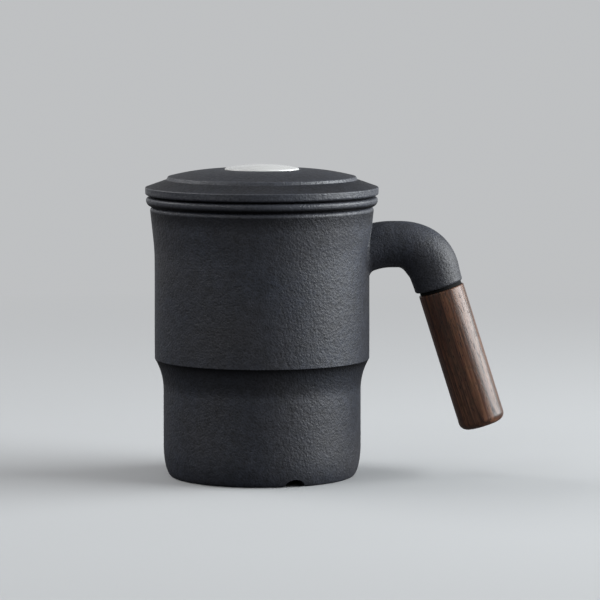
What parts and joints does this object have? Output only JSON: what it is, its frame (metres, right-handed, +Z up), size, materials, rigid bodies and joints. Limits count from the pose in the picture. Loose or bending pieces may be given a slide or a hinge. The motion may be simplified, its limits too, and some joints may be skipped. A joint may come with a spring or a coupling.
{
  "type": "lidded tea mug with infuser",
  "caption": "Stepped stoneware tea mug with a drop-in perforated infuser, a lift-off domed lid with a white button, and a wood grip on a ceramic elbow.",
  "frame": {"origin": "the mug's axis, in the plane that its foot rests on", "axes": "+Z up along the mug's axis, +X from the axis towards the handle, -Y the front, with the handle on the right"},
  "size_m": [0.1389, 0.0902, 0.1209],
  "materials": {
    "black_stoneware": "matte black stoneware with a fine sandy texture",
    "white_porcelain": "glossy white glaze",
    "walnut": "dark oiled wood with long grain, satin",
    "stud_steel": "plain",
    "insert_brass": "plain",
    "washer_rubber": "matte"
  },
  "bodies": {
    "mug": {"mug_body": "black_stoneware", "handle_elbow": "black_stoneware", "grip_stud": "stud_steel", "grip_washer": "washer_rubber", "wood_grip": "walnut", "grip_insert": "insert_brass"},
    "infuser": {"infuser_cup": "black_stoneware"},
    "lid_and_button": {"lid": "black_stoneware", "lid_button": "white_porcelain"}
  },
  "joints": [
    {"name": "infuser_lift", "type": "slide", "parent": "mug", "child": "infuser", "axis": [0, 0, 1], "range_m": [0, 0.085]},
    {"name": "lid_lift", "type": "slide", "parent": "infuser", "child": "lid_and_button", "axis": [0, 0, 1], "range_m": [0, 0.04]}
  ]
}
